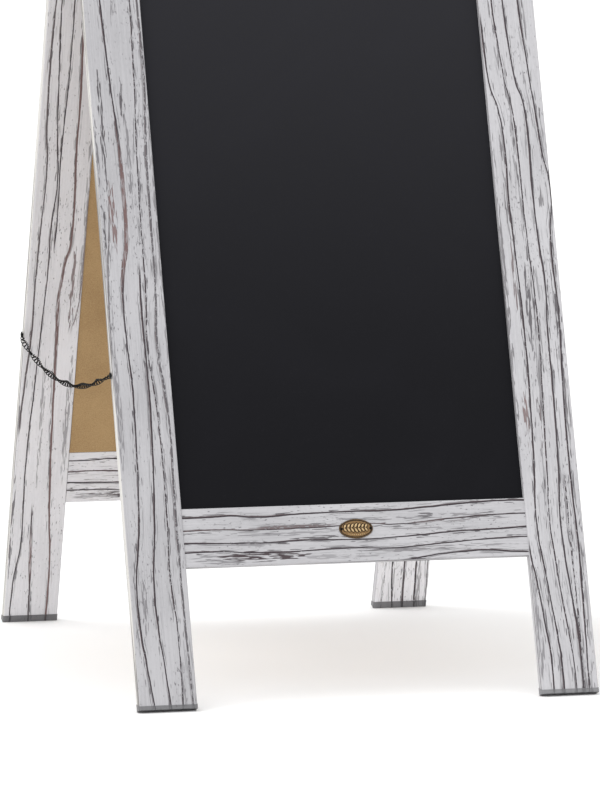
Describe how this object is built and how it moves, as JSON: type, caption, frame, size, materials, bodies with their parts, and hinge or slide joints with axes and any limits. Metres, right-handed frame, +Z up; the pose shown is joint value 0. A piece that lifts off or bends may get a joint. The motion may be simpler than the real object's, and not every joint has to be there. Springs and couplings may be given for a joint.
{
  "type": "sandwich board",
  "caption": "Folding A-frame chalkboard sign: framed black writing panels hinged along the top, with a slack chain on the left side.",
  "frame": {"origin": "on the floor under the middle of the open sign", "axes": "+Z up, +X along the width and along the hinge line, front panel on the -Y side and rear panel on the +Y side"},
  "size_m": [0.5125, 0.6978, 0.9629],
  "materials": {
    "whitewashed_wood": "worn whitewash over brown grain, matt",
    "fibre_board": "raw medium-density fibreboard",
    "black_chalk_surface": "matt black chalkboard paint",
    "dowel_wood": "plain beech",
    "grey_rubber_dip": "satin smoky grey",
    "hinge_metal": "antique bronze",
    "black_metal": "black oxide",
    "badge_brass": "antiqued brass, dark in the hollows"
  },
  "bodies": {
    "front_panel": {"front_left_stile": "whitewashed_wood", "front_right_stile": "whitewashed_wood", "front_top_rail": "whitewashed_wood", "front_bottom_rail": "whitewashed_wood", "front_backing": "fibre_board", "front_chalkboard": "black_chalk_surface", "front_dowels": "dowel_wood", "front_left_foot": "grey_rubber_dip", "front_right_foot": "grey_rubber_dip", "left_hinge_front_leaf": "hinge_metal", "right_hinge_front_leaf": "hinge_metal", "left_hinge_pin": "hinge_metal", "right_hinge_pin": "hinge_metal", "front_hinge_screws": "hinge_metal", "front_chain_screw": "black_metal", "badge_plate": "badge_brass", "badge_nails": "black_metal"},
    "rear_panel": {"rear_left_stile": "whitewashed_wood", "rear_right_stile": "whitewashed_wood", "rear_top_rail": "whitewashed_wood", "rear_bottom_rail": "whitewashed_wood", "rear_backing": "fibre_board", "rear_chalkboard": "black_chalk_surface", "rear_dowels": "dowel_wood", "rear_left_foot": "grey_rubber_dip", "rear_right_foot": "grey_rubber_dip", "left_hinge_rear_leaf": "hinge_metal", "right_hinge_rear_leaf": "hinge_metal", "rear_hinge_screws": "hinge_metal", "rear_chain_screw": "black_metal"},
    "front_strand": {"chain_front": "black_metal"},
    "bottom_links": {"chain_bottom": "black_metal"},
    "rear_strand": {"chain_rear": "black_metal"}
  },
  "joints": [
    {"name": "fold", "type": "hinge", "parent": "front_panel", "child": "rear_panel", "pos_m": [0, 0, 0.96054], "axis": [1, 0, 0], "range_deg": [-38.6, 0.5]},
    {"name": "front_strand_swing", "type": "hinge", "parent": "front_panel", "child": "front_strand", "pos_m": [-0.2547, -0.22215, 0.34614], "axis": [1, 0, 0], "range_deg": [-84.02, 1.29]},
    {"name": "bottom_links_turn", "type": "hinge", "parent": "front_strand", "child": "bottom_links", "pos_m": [-0.2561, -0.0135, 0.31625], "axis": [1, 0, 0], "range_deg": [-1.17, 74.84]},
    {"name": "rear_strand_swing", "type": "hinge", "parent": "rear_panel", "child": "rear_strand", "pos_m": [-0.2547, 0.22215, 0.34614], "axis": [1, 0, 0], "range_deg": [-1.79, 122.62]}
  ],
  "couplings": [
    {"joint": "front_strand_swing", "follows": "fold", "ratio": 2.1716},
    {"joint": "bottom_links_turn", "follows": "fold", "ratio": -1.9338},
    {"joint": "rear_strand_swing", "follows": "fold", "ratio": -3.1716}
  ]
}
